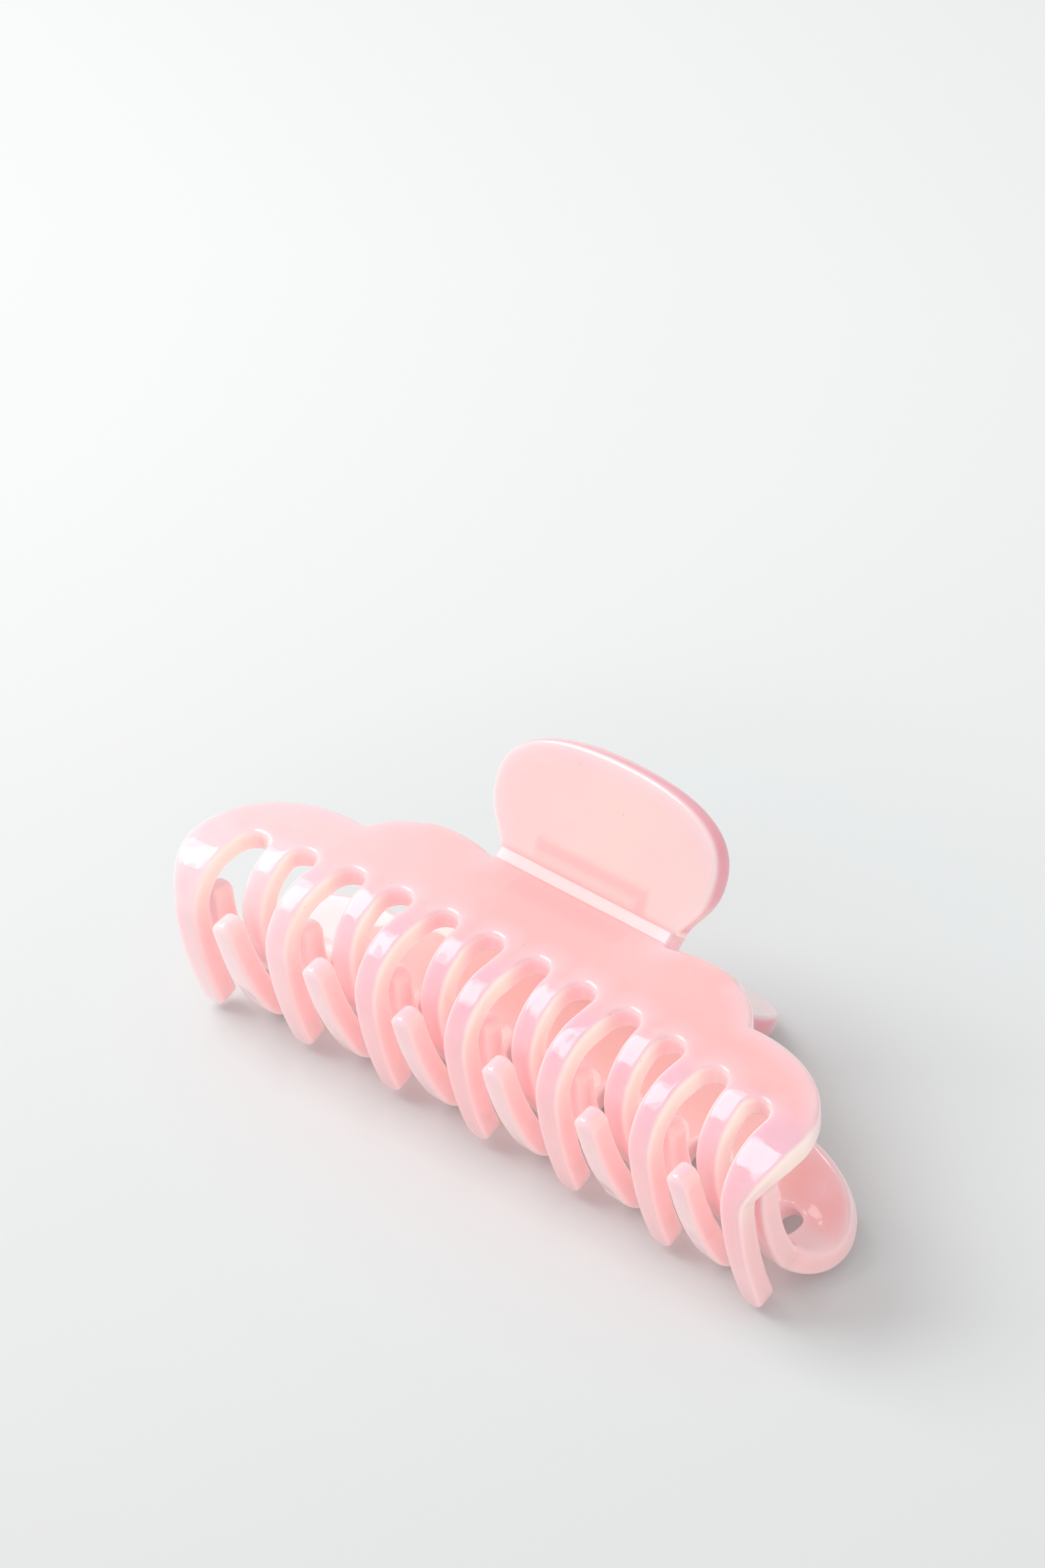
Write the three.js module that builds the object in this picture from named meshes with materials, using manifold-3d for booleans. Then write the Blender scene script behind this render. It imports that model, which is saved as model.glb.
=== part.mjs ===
// A large moulded claw clip for hair, lying closed on its side.
//
// Two plastic jaws swing on one steel pin, and a steel torsion spring on the pin holds
// them shut. Each jaw is a flat plate with a thumb paddle bent up behind it and thirteen
// curved teeth in front. Every other tooth stands in an outer row and the rest in an inner
// row. The jaws alternate, so an outer tooth of one jaw always passes in front of an inner
// tooth of the other.
//
// Units are millimetres. The clip is drawn closed about its pin: X along the pin, the teeth
// toward -Y, the paddles toward +Y, the upper jaw above Z = 0. At the end it is tipped onto
// its tooth tips and its lower paddle, as it lies on a table.

import * as THREE from 'three';
import { mergeVertices } from 'three/addons/utils/BufferGeometryUtils.js';
import Module from 'manifold-3d';

const wasm = await Module();
wasm.setup();

// ---- driving dimensions ----

// teeth
const toothCount = 13;
const toothPitch = 8.4;
const toothWidth = 4.0;
const plasticThickness = 3.6;
const rowGap = 0.9; // between the inner face of the outer row and the outer face of the inner row

// side view of a jaw: a straight plate, a tight crown, then a long gentle tooth
const creaseToPin = 1.2; // the pin lies this far behind the outer crease of plate and paddle
const plateRise = 12.5; // degrees
const plateRun = 19.6; // crease to the crown of the outer row, along the plate
const crownRadius = 9.0;
const crownTurn = 90; // degrees
const outerToothRadius = 56;
const outerToothTurn = 19;
const innerToothRadius = 26;
const innerToothTurn = 34;
const endToothStretch = 0.08; // end teeth reach this much further down than the middle ones
const startLap = 1.5; // plate and paddle run past the crease into each other

// plan view of a plate
const neckHalfWidth = 16.2;
const lobeOverhang = 2.8; // the end lobes stand out past the sides of the end teeth
const lobeStop = 0.87; // the lobes run into the end teeth this far behind the front of the crown
const notchX = 35.5; // between the small lobe and the large end lobe
const notchDepth = 6.1;
const smallLobeRise = 1.2; // the small lobes reach back past the crease, about two thirds of this
const lobeTopZ = 13; // the lobes narrow to the end teeth from here
const lobeFootZ = 1; // to here, above the plane between the jaws
const slotRoot = 13.0; // crease to the closed end of the middle slots
const slotRootAtEnds = 15.8; // the same at the ends of the clip
const headCurve = 1.6; // how far the ends of the clip bend forward toward the teeth

// paddle
const paddleAngle = 48; // degrees from the plane between the jaws
const paddleHeight = 19.9;
const paddleHalfWidth = 20.2;
const paddleWidestAt = 9.8; // above the crease
const paddleThickness = 3.4;

// spring
const wireRadius = 0.6;
const coilTurns = 5;
const coilTurnGap = 0.2; // between one turn of the coil and the next
const coilOnPin = 0.7; // between the pin and the inside of the coil
const coilToPad = 0.75; // between the outside of the coil and the pad behind it
const coilToLug = 0.6; // between each end of the coil and the inner lug
const springGap = 0.3; // between the leg's wire and the pad
const legUpPaddle = 1.7; // the legs end this far above the crease

// hinge
const pinRadius = 1.0;
const pinClearance = 0.1;
const pinOverhang = 0.4; // past the outer lugs, at each end
const pinBevel = 0.25;
const lugWall = 2.1; // around the pin's hole
const upperLugWidth = 2.5;
const lowerLugWidth = 2.5;
const lugGap = 0.3;
const padThickness = 0.6; // raised pad that the spring leg bears on
const padPastLeg = 2.5; // the pad reaches this far above the leg's end
const padAlongPlate = 3.0;
const sunk = 0.5; // pad and lugs are sunk this far into the faces they stand on

// ---- colours ----

const plasticLook = { color: 0xf6c6c8, roughness: 0.16, metalness: 0 };
const steelLook = { color: 0xc4c6c8, roughness: 0.3, metalness: 1 };

// ---- small helpers ----

const rad = THREE.MathUtils.degToRad;
const { lerp } = THREE.MathUtils;
const wellPast = 60; // a cut that has to run right out of the clip reaches this far

function solidOf(geometry) {
  const bare = geometry.clone();
  bare.deleteAttribute('normal');
  bare.deleteAttribute('uv');
  const welded = mergeVertices(bare, 1e-4);
  return new wasm.Manifold(new wasm.Mesh({
    numProp: 3,
    vertProperties: new Float32Array(welded.attributes.position.array),
    triVerts: new Uint32Array(welded.index.array),
  }));
}

function geometryOf(solid) {
  const mesh = solid.getMesh();
  const geometry = new THREE.BufferGeometry();
  geometry.setAttribute('position', new THREE.BufferAttribute(mesh.vertProperties, 3));
  geometry.setIndex(new THREE.BufferAttribute(mesh.triVerts, 1));
  return geometry;
}

// Extrudes a side-view shape (y, z) along X.
function alongClip(shape, fromX, toX, curveSegments = 8) {
  const geometry = new THREE.ExtrudeGeometry(shape, {
    depth: toX - fromX, bevelEnabled: false, curveSegments,
  });
  const turn = new THREE.Matrix4().makeBasis(
    new THREE.Vector3(0, 1, 0), new THREE.Vector3(0, 0, 1), new THREE.Vector3(1, 0, 0));
  turn.setPosition(fromX, 0, 0);
  return solidOf(geometry.applyMatrix4(turn));
}

// Extrudes a plan-view shape (x, y) through the whole height of a jaw.
function throughPlate(shape, curveSegments = 8) {
  const geometry = new THREE.ExtrudeGeometry(shape, {
    depth: 2 * wellPast, bevelEnabled: false, curveSegments,
  });
  return solidOf(geometry.translate(0, 0, -wellPast));
}

function block(fromX, toX, fromY, toY) {
  const shape = new THREE.Shape();
  shape.moveTo(fromX, fromY);
  shape.lineTo(toX, fromY);
  shape.lineTo(toX, toY);
  shape.lineTo(fromX, toY);
  return throughPlate(shape);
}

function union(solids) {
  return solids.reduce((sum, solid) => sum.add(solid));
}

// ---- sizes that follow from the driving ones ----

const endToothSide = toothPitch * (toothCount - 1) / 2 + toothWidth / 2;
const clipHalfLength = endToothSide + lobeOverhang;

// The coil runs round the pin, and the paddle's pad just clears it. That sets how high the
// crease stands above the pin. The lugs stand outside the coil's two ends.
const coilRadius = pinRadius + coilOnPin + wireRadius; // to the centre of the wire
const coilPitch = 2 * wireRadius + coilTurnGap;
const padToPin = coilRadius + wireRadius + coilToPad;
const paddleToPin = padToPin + padThickness + paddleThickness;
const creaseHeight = (paddleToPin - creaseToPin * Math.sin(rad(paddleAngle)))
  / Math.cos(rad(paddleAngle));
const lugRadius = pinRadius + pinClearance + lugWall;
const lowerLugInside = coilPitch * coilTurns / 2 + wireRadius + coilToLug;
const upperLugInside = lowerLugInside + lowerLugWidth + lugGap;
const hingeHalfWidth = upperLugInside + upperLugWidth;
const padUpPaddle = legUpPaddle + padPastLeg;

// ---- side view of one row of teeth ----

const creaseY = -creaseToPin; // crease in the clip's own frame, pin at Y = 0
const innerSetback = plasticThickness + rowGap;
const rows = {
  outer: { run: plateRun, radius: outerToothRadius, turn: outerToothTurn },
  inner: { run: plateRun - innerSetback, radius: innerToothRadius, turn: innerToothTurn },
};

// Points down the outside of a row from the crease, each with its heading in degrees.
function outsideLine(row, startRun) {
  const stretches = [
    { radius: crownRadius, turn: crownTurn, steps: 9 },
    { radius: row.radius, turn: row.turn, steps: 5 },
  ];
  let heading = plateRise;
  let forward = 0;
  let up = creaseHeight;
  const line = [];
  const note = () => line.push({ y: creaseY - forward, z: up, heading });
  forward += startRun * Math.cos(rad(heading));
  up += startRun * Math.sin(rad(heading));
  note();
  forward += (row.run - startRun) * Math.cos(rad(heading));
  up += (row.run - startRun) * Math.sin(rad(heading));
  note();
  for (const { radius, turn, steps } of stretches) {
    const from = heading;
    const [startForward, startUp] = [forward, up];
    for (let i = 1; i <= steps; i++) {
      heading = from - turn * i / steps;
      forward = startForward + radius * (Math.sin(rad(from)) - Math.sin(rad(heading)));
      up = startUp + radius * (Math.cos(rad(heading)) - Math.cos(rad(from)));
      note();
    }
  }
  return line;
}

// How far in front of the crease a row's crown reaches.
function crownFront(row) {
  return row.run * Math.cos(rad(plateRise))
    + crownRadius * (Math.sin(rad(plateRise)) + Math.sin(rad(crownTurn - plateRise)));
}

function inward({ y, z, heading }, depth) {
  return new THREE.Vector2(y - depth * Math.sin(rad(heading)), z - depth * Math.cos(rad(heading)));
}

function rowShape(row, startRun) {
  const line = outsideLine(row, startRun);
  const outside = line.map((point) => new THREE.Vector2(point.y, point.z));
  const inside = line.map((point) => inward(point, plasticThickness)).reverse();
  return new THREE.Shape([...outside, ...inside]);
}

// ---- plan view of a plate ----

// The lobes' edge on one side, from the neck to the side of the end tooth.
function drawLobes(shape, side, lobeEnd) {
  const at = (x, forward) => [side * x, creaseY - forward];
  const smallX = (share) => lerp(neckHalfWidth, notchX, share);
  shape.bezierCurveTo(...at(smallX(0.56), -smallLobeRise), ...at(smallX(0.86), notchDepth / 6),
    ...at(notchX, notchDepth));
  shape.bezierCurveTo(...at(lerp(notchX, clipHalfLength, 0.44), notchDepth * 0.8),
    ...at(clipHalfLength - 1.2, notchDepth * 1.3), ...at(clipHalfLength, lerp(notchDepth, lobeEnd, 0.48)));
  shape.bezierCurveTo(...at(clipHalfLength + 0.4, lerp(notchDepth, lobeEnd, 0.7)),
    ...at(clipHalfLength - 1, lerp(notchDepth, lobeEnd, 0.87)), ...at(endToothSide, lobeEnd));
}

function lobeCurve(side, lobeEnd) {
  const path = new THREE.Path();
  path.moveTo(side * neckHalfWidth, creaseY);
  drawLobes(path, side, lobeEnd);
  return path.getPoints(8);
}

function planShape(lobeEnd) {
  const front = creaseY - wellPast;
  const right = lobeCurve(1, lobeEnd);
  const left = lobeCurve(-1, lobeEnd).reverse();
  return new THREE.Shape([
    ...right, new THREE.Vector2(endToothSide, front), new THREE.Vector2(-endToothSide, front),
    ...left, new THREE.Vector2(-neckHalfWidth, creaseY + 2 * startLap),
    new THREE.Vector2(neckHalfWidth, creaseY + 2 * startLap),
  ]);
}

// Front view: the lobes narrow to the sides of the end teeth as they come down.
function frontOutline() {
  const wide = clipHalfLength + lobeOverhang;
  const atFoot = [endToothSide, lerp(lobeFootZ, lobeTopZ, 0.38)];
  const atTop = [endToothSide + lobeOverhang * 0.8, lerp(lobeFootZ, lobeTopZ, 0.67)];
  const shape = new THREE.Shape();
  shape.moveTo(-endToothSide, -wellPast);
  shape.lineTo(endToothSide, -wellPast);
  shape.lineTo(endToothSide, lobeFootZ);
  shape.bezierCurveTo(...atFoot, ...atTop, wide, lobeTopZ);
  shape.lineTo(wide, wellPast);
  shape.lineTo(-wide, wellPast);
  shape.lineTo(-wide, lobeTopZ);
  shape.bezierCurveTo(-atTop[0], atTop[1], -atFoot[0], atFoot[1], -endToothSide, lobeFootZ);
  const geometry = new THREE.ExtrudeGeometry(shape, {
    depth: 2 * wellPast, bevelEnabled: false, curveSegments: 6,
  });
  return solidOf(geometry.rotateX(Math.PI / 2).translate(0, wellPast, 0));
}

// ---- teeth ----

const toothX = (index) => (index - (toothCount - 1) / 2) * toothPitch;
const endX = toothX(toothCount - 1);

// A slot between two teeth, with a round closed end.
function slot(index) {
  const x = (toothX(index) + toothX(index + 1)) / 2;
  const half = (toothPitch - toothWidth) / 2;
  const root = slotRoot + (slotRootAtEnds - slotRoot) * (x / endX) ** 2;
  const shape = new THREE.Shape();
  shape.moveTo(x - half, creaseY - wellPast);
  shape.lineTo(x + half, creaseY - wellPast);
  shape.lineTo(x + half, creaseY - root - half);
  shape.absarc(x, creaseY - root - half, half, 0, Math.PI, false);
  return throughPlate(shape, 7);
}

// Bends the clip's ends forward along the plate and lets the end teeth reach further down.
function followHead(solid) {
  const geometry = geometryOf(solid);
  const position = geometry.attributes.position;
  for (let i = 0; i < position.count; i++) {
    const x = position.getX(i);
    const past = Math.max(0, Math.abs(x) - neckHalfWidth) / (endX - neckHalfWidth);
    const shift = headCurve * past ** 2;
    const z = position.getZ(i);
    const longer = z < 0 ? 1 + endToothStretch * (x / endX) ** 2 : 1;
    position.setY(i, position.getY(i) - shift * Math.cos(rad(plateRise)));
    position.setZ(i, z * longer + shift * Math.sin(rad(plateRise)));
  }
  return solidOf(geometry);
}

// ---- plate and teeth of a jaw; outerParity 0 puts the first tooth in the outer row ----

function plateAndTeeth(outerParity) {
  const endRow = outerParity === 0 ? rows.outer : rows.inner;
  const plan = throughPlate(planShape(crownFront(endRow) - lobeStop)).intersect(frontOutline());
  const reach = clipHalfLength + lobeOverhang;
  const sheetOf = (row) => alongClip(rowShape(row, -startLap), -reach, reach).intersect(plan);
  const innerStart = creaseY - rows.inner.run * Math.cos(rad(plateRise));
  let sheet = sheetOf(rows.outer);
  const innerSheet = sheetOf(rows.inner);
  const innerTeeth = [];
  for (let i = 0; i < toothCount; i++) {
    if (i % 2 === outerParity) continue;
    const fromX = i === 0 ? -reach : toothX(i) - toothPitch / 2;
    const toX = i === toothCount - 1 ? reach : toothX(i) + toothPitch / 2;
    sheet = sheet.subtract(block(fromX, toX, creaseY - wellPast, innerStart));
    innerTeeth.push(innerSheet.intersect(
      block(fromX, toX, creaseY - wellPast, innerStart + plasticThickness)));
  }
  let jaw = union([sheet, ...innerTeeth]);
  for (let i = 0; i < toothCount - 1; i++) jaw = jaw.subtract(slot(i));
  return followHead(jaw);
}

// ---- paddle ----

const paddleUp = new THREE.Vector3(0, Math.cos(rad(paddleAngle)), Math.sin(rad(paddleAngle)));
const paddleOut = new THREE.Vector3(0, -paddleUp.z, paddleUp.y);
const crease = new THREE.Vector3(0, creaseY, creaseHeight);

function paddle() {
  const right = [
    [lerp(neckHalfWidth, paddleHalfWidth, 0.28), paddleWidestAt * 0.35],
    [paddleHalfWidth, paddleWidestAt * 0.5], [paddleHalfWidth, paddleWidestAt],
    [paddleHalfWidth, lerp(paddleWidestAt, paddleHeight, 0.61)],
    [paddleHalfWidth * 0.72, paddleHeight],
  ];
  const left = right.map(([x, up]) => [-x, up]).reverse();
  const shape = new THREE.Shape();
  shape.moveTo(-neckHalfWidth, -startLap);
  shape.lineTo(neckHalfWidth, -startLap);
  shape.lineTo(neckHalfWidth, 0);
  shape.bezierCurveTo(...right[0], ...right[1], ...right[2]);
  shape.bezierCurveTo(...right[3], ...right[4], 0, paddleHeight);
  shape.bezierCurveTo(...left[0], ...left[1], ...left[2]);
  shape.bezierCurveTo(...left[3], ...left[4], -neckHalfWidth, 0);
  const geometry = new THREE.ExtrudeGeometry(shape, {
    depth: paddleThickness, bevelEnabled: false, curveSegments: 12,
  });
  geometry.translate(0, 0, -paddleThickness);
  const stand = new THREE.Matrix4().makeBasis(new THREE.Vector3(1, 0, 0), paddleUp, paddleOut);
  stand.setPosition(crease);
  return solidOf(geometry.applyMatrix4(stand));
}

// ---- hinge pad and lugs, in the inner corner between plate and paddle ----

// A point of the side view, up the paddle or along the plate, below its inner face.
function onPaddle(distance, depth) {
  const point = crease.clone().addScaledVector(paddleUp, distance);
  point.addScaledVector(paddleOut, -paddleThickness - depth);
  return new THREE.Vector2(point.y, point.z);
}

function onPlate(distance, depth) {
  const along = { y: creaseY - distance * Math.cos(rad(plateRise)),
    z: creaseHeight + distance * Math.sin(rad(plateRise)), heading: plateRise };
  return inward(along, plasticThickness + depth);
}

function hingePad() {
  const shape = new THREE.Shape([
    onPaddle(padUpPaddle, -sunk), onPaddle(padUpPaddle, padThickness),
    onPaddle(padThickness, padThickness), onPlate(padAlongPlate / 2, padThickness),
    onPlate(padAlongPlate, padThickness), onPlate(padAlongPlate, -sunk),
  ].reverse());
  return alongClip(shape, -hingeHalfWidth, hingeHalfWidth);
}

function lug(fromX, toX) {
  const high = onPaddle(padUpPaddle, -sunk);
  const low = onPlate(padAlongPlate, -sunk);
  const shape = new THREE.Shape();
  shape.moveTo(high.x, high.y);
  shape.lineTo(low.x, low.y);
  shape.lineTo(-lugRadius, 0);
  shape.absarc(0, 0, lugRadius, Math.PI, 2 * Math.PI, false);
  return alongClip(shape, fromX, toX, 16);
}

function pinHole() {
  const hole = new THREE.CylinderGeometry(
    pinRadius + pinClearance, pinRadius + pinClearance, 4 * hingeHalfWidth, 24);
  return solidOf(hole.rotateZ(Math.PI / 2));
}

const lugSpans = {
  upper: [upperLugInside, upperLugInside + upperLugWidth],
  lower: [lowerLugInside, lowerLugInside + lowerLugWidth],
};

function jaw(outerParity, [near, far]) {
  const solid = union([plateAndTeeth(outerParity), paddle(), hingePad(), lug(near, far), lug(-far, -near)]);
  return geometryOf(solid.subtract(pinHole()));
}

// ---- pin ----

function hingePin() {
  const half = hingeHalfWidth + pinOverhang;
  const profile = [
    new THREE.Vector2(0, -half), new THREE.Vector2(pinRadius - pinBevel, -half),
    new THREE.Vector2(pinRadius, -half + pinBevel), new THREE.Vector2(pinRadius, half - pinBevel),
    new THREE.Vector2(pinRadius - pinBevel, half), new THREE.Vector2(0, half),
  ];
  return new THREE.LatheGeometry(profile, 24).rotateZ(-Math.PI / 2);
}

// ---- spring ----

// A leg leaves the coil level with the pin and ends on the paddle's pad, so it leans toward
// the pad by this angle.
const pinUpPaddle = creaseToPin * Math.cos(rad(paddleAngle)) - creaseHeight * Math.sin(rad(paddleAngle));
const legLength = legUpPaddle - pinUpPaddle;
const legReach = padToPin - springGap - wireRadius;
const legLean = Math.asin(legReach / Math.hypot(coilRadius, legLength)) - Math.atan2(coilRadius, legLength);

class SpringWire extends THREE.Curve {
  constructor() {
    super();
    this.leave = rad(paddleAngle) + legLean + Math.PI / 2;
    this.sweep = 2 * this.leave - 2 * Math.PI * (coilTurns + 1);
    this.coilLength = Math.abs(this.sweep) * coilRadius;
    this.total = this.coilLength + 2 * legLength;
  }

  getPoint(t, target = new THREE.Vector3()) {
    const along = t * this.total - legLength;
    const share = THREE.MathUtils.clamp(along / this.coilLength, 0, 1);
    const angle = -this.leave + this.sweep * share;
    const x = coilPitch * coilTurns * (share - 0.5);
    const past = along - share * this.coilLength;
    target.set(x, coilRadius * Math.cos(angle), coilRadius * Math.sin(angle));
    target.y += past * Math.sin(angle);
    target.z -= past * Math.cos(angle);
    return target;
  }
}

function torsionSpring() {
  const section = new THREE.Shape().absarc(0, 0, wireRadius, 0, 2 * Math.PI, false);
  return new THREE.ExtrudeGeometry(section, {
    steps: 120, curveSegments: 4, bevelEnabled: false, extrudePath: new SpringWire(),
  });
}

// ---- assembly ----

function piece(name, geometry, look) {
  const mesh = new THREE.Mesh(geometry, new THREE.MeshStandardMaterial(look));
  mesh.name = name;
  return mesh;
}

const upperJaw = piece('upper_jaw', jaw(0, lugSpans.upper), plasticLook);
const lowerJaw = piece('lower_jaw', jaw(1, lugSpans.lower).scale(1, 1, -1), plasticLook);
lowerJaw.geometry.setIndex([...lowerJaw.geometry.index.array].reverse());

const clip = new THREE.Group();
clip.add(lowerJaw, upperJaw);
clip.add(piece('hinge_pin', hingePin(), steelLook));
clip.add(piece('torsion_spring', torsionSpring(), steelLook));

// The closed clip lies on its front teeth and on its lower paddle. Both touch the table
// when the line under them is level, which a few rounds of levelling find.
function lowestPoint(front) {
  const point = new THREE.Vector3();
  let found = new THREE.Vector3(0, 0, Infinity);
  for (const { geometry } of [upperJaw, lowerJaw]) {
    for (let i = 0; i < geometry.attributes.position.count; i++) {
      point.fromBufferAttribute(geometry.attributes.position, i);
      const onThisSide = front ? point.y < creaseY : point.y > 0;
      point.applyEuler(clip.rotation);
      if (onThisSide && point.z < found.z) found = point.clone();
    }
  }
  return found;
}

for (let round = 0; round < 4; round++) {
  const teeth = lowestPoint(true);
  const heel = lowestPoint(false);
  clip.rotation.x -= Math.atan2(heel.z - teeth.z, heel.y - teeth.y);
}

const object = new THREE.Group();
object.add(clip);
const box = new THREE.Box3().setFromObject(object, true);
const middle = box.getCenter(new THREE.Vector3());
clip.position.set(-middle.x, -middle.y, -box.min.z);

export default object;
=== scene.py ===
"""A large moulded claw clip for hair, lying closed on a pale table.

Each jaw is one skin: a plate with a thumb paddle bent up behind it and thirteen curved teeth
in front. The skin is drawn flat, as a pattern in (x, s), where x runs along the clip and s is
the distance over the outside of the jaw: 0 at the crease, positive toward the tooth tips,
negative up the paddle. A side line then bends the pattern into shape. Lengths are millimetres
until a mesh is made.
"""

import bmesh
import bpy
import numpy as np
from mathutils import Matrix, Vector


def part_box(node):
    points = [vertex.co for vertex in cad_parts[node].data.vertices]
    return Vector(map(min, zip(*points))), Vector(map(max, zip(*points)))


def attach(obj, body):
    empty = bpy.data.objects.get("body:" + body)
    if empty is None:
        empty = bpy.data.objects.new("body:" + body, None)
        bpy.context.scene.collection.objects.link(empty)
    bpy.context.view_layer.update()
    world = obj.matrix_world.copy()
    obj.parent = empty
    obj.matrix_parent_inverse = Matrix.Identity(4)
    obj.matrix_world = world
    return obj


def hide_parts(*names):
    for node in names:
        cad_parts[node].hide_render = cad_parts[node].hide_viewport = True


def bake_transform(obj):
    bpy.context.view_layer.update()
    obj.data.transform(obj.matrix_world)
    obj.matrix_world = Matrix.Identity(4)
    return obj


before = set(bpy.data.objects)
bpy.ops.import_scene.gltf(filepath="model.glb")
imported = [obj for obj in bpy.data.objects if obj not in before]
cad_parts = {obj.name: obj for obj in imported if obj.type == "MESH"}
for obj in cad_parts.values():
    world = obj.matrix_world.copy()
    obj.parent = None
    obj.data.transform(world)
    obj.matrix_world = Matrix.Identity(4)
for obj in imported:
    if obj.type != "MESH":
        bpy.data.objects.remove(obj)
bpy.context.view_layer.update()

MM = 0.001

# ---- the clip's sizes ----

TOOTH_COUNT = 13
TOOTH_PITCH = 8.4
TOOTH_WIDTH = 4.0
PLASTIC = 3.6
ROW_GAP = 0.9
CREASE_TO_PIN = 1.2
PLATE_RISE = np.radians(12.5)
PLATE_RUN = 19.6
CROWN_RADIUS = 9.0
CROWN_TURN = np.radians(90)
END_STRETCH = 0.08
NECK = 16.2
NOTCH_X, NOTCH_DEPTH = 35.5, 6.1
SLOT_ROOT, SLOT_ROOT_ENDS = 13.0, 15.8
HEAD_CURVE = 1.6  # how far forward the plate's ends stand of its middle
TIP_TAPER = 0.14  # the share of its width that a tooth loses toward its tip
TIP_ROUND = 0.7  # how much shorter a tooth is at its sides
LOBE_PAST_TEETH = 2.8
LOBE_STOP = 0.87  # the end lobe's edge stops this far behind the front of the crown
PADDLE_ANGLE = np.radians(48)
PADDLE_HEIGHT, PADDLE_HALF_WIDTH = 19.9, 20.2
PADDLE_WIDEST_AT = 9.8
PADDLE_THICK = 3.4
CREASE_HEIGHT = 10.1
CREASE_STRIP, CREASE_ROUND = 1.5, 0.45  # a flat strip fills the crease, rounded into both faces
EDGE_ROUND = 0.75

END_X = TOOTH_PITCH * (TOOTH_COUNT - 1) / 2
END_SIDE = END_X + TOOTH_WIDTH / 2
HALF_LENGTH = END_SIDE + LOBE_PAST_TEETH
HALF_GAP = (TOOTH_PITCH - TOOTH_WIDTH) / 2
ROWS = {
    "outer": (PLATE_RUN, 56.0, np.radians(19)),
    "inner": (PLATE_RUN - PLASTIC - ROW_GAP, 26.0, np.radians(34)),
}

# The pin's axis (y, z) in the frame, and how far the closed clip is tipped about it.
pin_low, pin_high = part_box("hinge_pin")
PIN = np.array([(pin_low.y + pin_high.y) / 2, (pin_low.z + pin_high.z) / 2]) / MM
TIP = np.radians(15.4222)


def bezier(points, count):
    """Cubic curve through four control points: (1-t)^3 A + 3t(1-t)^2 B + 3t^2(1-t) C + t^3 D."""
    t = np.linspace(0, 1, count)[:, None]
    a, b, c, d = np.array(points, float)
    return (1 - t) ** 3 * a + 3 * t * (1 - t) ** 2 * b + 3 * t**2 * (1 - t) * c + t**3 * d


def along(line, share):
    """Points at the given shares of a line's length, by straight interpolation over arc length."""
    length = np.r_[0, np.cumsum(np.linalg.norm(np.diff(line, axis=0), axis=1))]
    want = np.asarray(share) * length[-1]
    return np.stack([np.interp(want, length, line[:, 0]), np.interp(want, length, line[:, 1])], -1)


# ---- the side line ----

FILLET_TURN = PLATE_RISE + PADDLE_ANGLE
ROUND_REACH = CREASE_ROUND * np.tan(FILLET_TURN / 4)
# From the sharp crease to where the straight plate or paddle begins.
FILLET_HALF = (CREASE_STRIP / 2 + ROUND_REACH) / np.cos(FILLET_TURN / 2) + ROUND_REACH
FILLET_LENGTH = CREASE_STRIP + CREASE_ROUND * FILLET_TURN
PATTERN_START = FILLET_LENGTH / 2  # s where the straight plate begins, with s = 0 mid-strip
PADDLE_SPARE = 3.0  # how far the side line runs on past the paddle's top
WALK_STEPS = 400  # on each stretch of the side line
CROWN_READ = np.radians(80)  # the turn of the crown up to which s_of reads the side line


def side_line(row):
    """The outside of a jaw seen from its end, as a walk with heading h: straight paddle, the
    crease's strip between two small arcs, straight plate, crown arc and tooth arc. Returns s,
    forward u, up v and the heading at each step, where du = cos(h) ds and dv = sin(h) ds, and h
    falls or grows evenly over each arc."""
    run, radius, turn = ROWS[row]
    stretches = [
        (PADDLE_HEIGHT + PADDLE_SPARE, -PADDLE_ANGLE, 0.0),
        (CREASE_ROUND * FILLET_TURN / 2, -PADDLE_ANGLE, FILLET_TURN / 2),
        (CREASE_STRIP, FILLET_TURN / 2 - PADDLE_ANGLE, 0.0),
        (CREASE_ROUND * FILLET_TURN / 2, FILLET_TURN / 2 - PADDLE_ANGLE, FILLET_TURN / 2),
        (run - FILLET_HALF, PLATE_RISE, 0.0),
        (CROWN_RADIUS * CROWN_TURN, PLATE_RISE, -CROWN_TURN),
        (radius * turn, PLATE_RISE - CROWN_TURN, -turn),
    ]
    share = (np.arange(WALK_STEPS) + 0.5) / WALK_STEPS
    lengths, headings = [], []
    for length, heading, turned in stretches:
        lengths.append(np.full(WALK_STEPS, length / WALK_STEPS))
        headings.append(heading + turned * share)
    ds, h = np.concatenate(lengths), np.concatenate(headings)
    s = np.r_[0, np.cumsum(ds)] - (PADDLE_HEIGHT + PADDLE_SPARE) - FILLET_LENGTH / 2
    u = np.r_[0, np.cumsum(np.cos(h) * ds)]
    v = np.r_[0, np.cumsum(np.sin(h) * ds)]
    at = np.interp(PATTERN_START, s, np.arange(len(s)))
    u -= np.interp(at, np.arange(len(s)), u) - FILLET_HALF * np.cos(PLATE_RISE)
    v -= np.interp(at, np.arange(len(s)), v) - CREASE_HEIGHT - FILLET_HALF * np.sin(PLATE_RISE)
    return s, u, v, np.r_[h[0], (h[1:] + h[:-1]) / 2, h[-1]]


LINES = {row: side_line(row) for row in ROWS}
TIP_S = {row: LINES[row][0][-1] for row in ROWS}


def s_of(u, row="outer"):
    """The pattern's s for a distance u in front of the crease, seen from above."""
    s, forward, _, _ = LINES[row]
    plate = (s > 0) & (s < PATTERN_START + ROWS[row][0] + CROWN_RADIUS * CROWN_READ)
    return np.interp(u, forward[plate], s[plate])


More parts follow.
